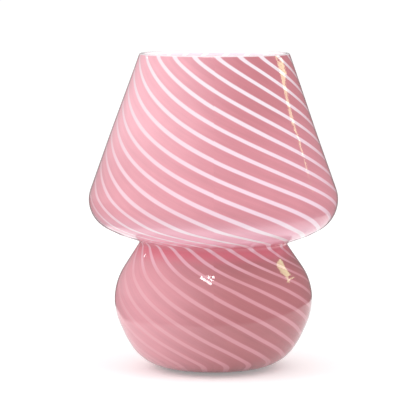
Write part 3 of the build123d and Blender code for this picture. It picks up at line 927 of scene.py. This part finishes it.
# Lit shapes, as the directions of their corners, in degrees, from the place on the glass that
# reflects them: two cream ones to the right, three small white ones above and one to the left
shade_glint = [
    (113.5, 16.0), (111.9, 17.5), (111.3, 18.1), (113.0, 18.4), (116.0, 18.05), (121.0, 17.2),
    (126.9, 15.9), (127.4, 16.6), (114.0, 20.4), (110.0, 20.2), (107.9, 19.85), (106.6, 19.5),
    (109.3, 18.2), (112.8, 16.2),
]
base_glint = [
    (113.5, 29.0), (111.9, 25.1), (110.5, 21.7), (110.4, 17.8), (112.3, 21.0), (114.5, 24.0),
    (118.0, 25.5), (125.0, 23.0), (125.8, 28.5), (119.0, 32.0), (113.0, 35.0),
]
slant_glint = [(-24, 55.5), (-23, 57.0), (-2.4, 46.0), (-3.0, 44.0)]
bent_glint = [(-15, 57.6), (-12, 58.4), (-3.9, 54.6), (0.2, 51.8), (-3.6, 52.6), (-9.5, 56.2)]
short_glint = [(-4.5, 57.6), (2.4, 58.4), (2.0, 57.0), (-0.5, 55.6), (-2, 56.2)]
left_glint = [(-129.9, 23.1), (-126.3, 25.1), (-126.3, 25.6), (-129.9, 23.6)]
on_shade = Vector((0.080, -0.035, 0.190))
on_base = Vector((0.066, -0.036, 0.082))
in_front = Vector((0.000, -0.072, 0.078))
on_left = Vector((-0.050, -0.045, 0.088))
glint_away = 2.2
left_glint_away = 1.0
cream = (0.82, 1.0, 0.52, 1)
white = (1, 1, 1, 1)
cream_strength = 6.0
white_strength = 26.0
left_strength = 12.0

# The camera looks a little down from in front, from far away
camera_place = (-0.00415, -1.8123, 0.3099)
camera_aim = Vector((-0.00415, 0, 0.1230))
camera_lens = 206.1
camera_sensor = 36.0


def toward(azimuth, elevation, away, start=middle):
    """The place at a direction, in degrees, and a distance from the start."""
    rightwards = radians(azimuth)
    upwards = radians(elevation)
    flat = cos(upwards)
    return start + away * Vector((sin(rightwards) * flat, -cos(rightwards) * flat, sin(upwards)))


def face(thing, target):
    """Turns a light or the camera to look at a point."""
    thing.rotation_euler = (target - thing.location).to_track_quat("-Z", "Y").to_euler()


def unreflected_light(name, kind, power):
    light = new_object(name, bpy.data.lights.new(name, kind))
    light.data.energy = power
    light.visible_glossy = False
    return light


def soft_light(name, azimuth, elevation, away, side, power, tint):
    """A square light at a direction and distance from the middle of the lamp, facing it."""
    light = unreflected_light(name, "AREA", power)
    light.data.size = side
    light.data.color = tint
    light.location = toward(azimuth, elevation, away)
    face(light, middle)


def inner_glow(name, place, power):
    light = unreflected_light(name, "POINT", power)
    light.data.shadow_soft_size = glow_size
    light.location = place
    light.visible_camera = False


def seen_directly(tree, otherwise, there):
    """One strength where the camera, a reflection or glass looks, and another elsewhere."""
    rays = tree.nodes.new("ShaderNodeLightPath")
    seen = rays.outputs["Is Camera Ray"]
    for output in ("Is Glossy Ray", "Is Transmission Ray"):
        either = tree.nodes.new("ShaderNodeMath")
        either.operation = "MAXIMUM"
        tree.links.new(seen, either.inputs[0])
        tree.links.new(rays.outputs[output], either.inputs[1])
        seen = either.outputs[0]
    level = tree.nodes.new("ShaderNodeMapRange")
    tree.links.new(seen, level.inputs["Value"])
    level.inputs["To Min"].default_value = otherwise
    level.inputs["To Max"].default_value = there
    return level.outputs["Result"]


def white_world():
    """White where it is seen, and a little dimmer as a light."""
    world = bpy.data.worlds.new("studio")
    bpy.context.scene.world = world
    world.use_nodes = True
    backdrop = world.node_tree.nodes["Background"]
    backdrop.inputs["Color"].default_value = white
    level = seen_directly(world.node_tree, ambient_light, 1.0)
    world.node_tree.links.new(level, backdrop.inputs["Strength"])


def floor_white():
    """What the light leaves short of white is made up only where something looks at the floor."""
    paint = Paint("floor_white", Roughness=0.9, Specular_IOR_Level=0.0)
    grain = paint.noise(paint.position(), 3.0, 3.0)
    paint.set("Base Color", paint.mix(grain, (0.90, 0.90, 0.90, 1), (0.93, 0.93, 0.93, 1)))
    paint.set("Emission Color", white)
    paint.set("Emission Strength", seen_directly(paint.tree, 0.0, floor_lift))
    return paint


def glowing(paint, tint, strength=1.0):
    """Makes a paint give light of one tint, or of a tint that changes from place to place."""
    glow = paint.node("Emission", {"Color": tint, "Strength": strength})
    paint.tree.links.new(glow.outputs[0], paint.tree.nodes["Material Output"].inputs[0])
    return paint


def reflected_only(piece):
    """Makes a stage piece that nothing but a reflection sees."""
    for ray in ("camera", "diffuse", "transmission", "volume_scatter", "shadow"):
        setattr(piece, "visible_" + ray, False)


def dim_room():
    """Walls for the reflections, dim and lighter to the left and overhead."""
    form = bmesh.new()
    bmesh.ops.create_uvsphere(form, u_segments=64, v_segments=32, radius=room_radius)
    room = formed("room", form)
    paint = Paint("room_dim")
    x, y, z = paint.node("SeparateXYZ", {0: paint.position()}).outputs
    rightward = paint.between(x, -room_radius, 0.3 * room_radius, smooth=True)
    upward = paint.between(z, 0.35 * room_radius, room_radius, smooth=True)
    walls = paint.mix(rightward, (0.50, 0.47, 0.47, 1), (0.24, 0.21, 0.21, 1))
    dress(room, glowing(paint, paint.mix(upward, walls, (0.55, 0.53, 0.53, 1))))
    reflected_only(room)


def dark_table():
    """The table round the white board, white at the board's edge and soon dark."""
    points = []
    beyond_board = []
    for azimuth, near in board_edge:
        for reach, beyond in ((near, 0.0), (near * board_fade, 1.0), (room_radius, 1.0)):
            x, y = reach * sin(radians(azimuth)), -reach * cos(radians(azimuth))
            points.append((x, y, table_top_z))
            beyond_board.append(beyond)
    faces = []
    for step in range(len(board_edge) - 1):
        for corner in (3 * step, 3 * step + 1):
            faces.append((corner, corner + 1, corner + 4, corner + 3))
    table = meshed("dark_table", points, faces)
    table.data.attributes.new("beyond", "FLOAT", "POINT").data.foreach_set("value", beyond_board)
    paint = Paint("table_dim")
    beyond = paint.node("Attribute", attribute_name="beyond").outputs["Fac"]
    dress(table, glowing(paint, paint.mix(beyond, white, (0.26, 0.22, 0.22, 1))))
    reflected_only(table)


def light_patch(name, outline, start, away, tint, strength):
    """A lit shape whose corners are directions from the start."""
    points = [toward(azimuth, elevation, away, start) for azimuth, elevation in outline]
    patch = meshed(name, points, [range(len(points))])
    dress(patch, glowing(Paint(name), tint, strength))
    reflected_only(patch)


white_world()
soft_light("key", -68, 38, away=1.6, side=0.9, power=4.5, tint=(1.0, 0.97, 0.96))
soft_light("fill", 48, 50, away=1.8, side=1.2, power=6.0, tint=(1.0, 0.98, 0.98))
inner_glow("in_the_shade", (0, 0, shade_glow_z), shade_glow)
for quarter in range(4):
    angle = radians(45 + 90 * quarter)
    place = (base_glow_radius * cos(angle), base_glow_radius * sin(angle), base_glow_z)
    inner_glow("in_the_base_%d" % quarter, place, base_glow)

quarters = ((-1, -1), (1, -1), (1, 1), (-1, 1))
floor = meshed("floor", [(x * floor_half, y * floor_half, 0) for x, y in quarters], [range(4)])
dress(floor, floor_white())

dim_room()
dark_table()
light_patch("shade_glint", shade_glint, on_shade, glint_away, cream, cream_strength)
light_patch("base_glint", base_glint, on_base, glint_away, cream, cream_strength)
light_patch("slant_glint", slant_glint, in_front, glint_away, white, white_strength)
light_patch("bent_glint", bent_glint, in_front, glint_away, white, white_strength)
light_patch("short_glint", short_glint, in_front, glint_away, white, white_strength)
light_patch("left_glint", left_glint, on_left, left_glint_away, white, left_strength)

# ---------------------------------------------------------------- camera
camera = new_object("camera", bpy.data.cameras.new("camera"))
camera.data.sensor_width = camera_sensor
camera.data.lens = camera_lens
camera.location = camera_place
face(camera, camera_aim)
bpy.context.scene.camera = camera
bpy.context.scene.view_settings.view_transform = "Standard"
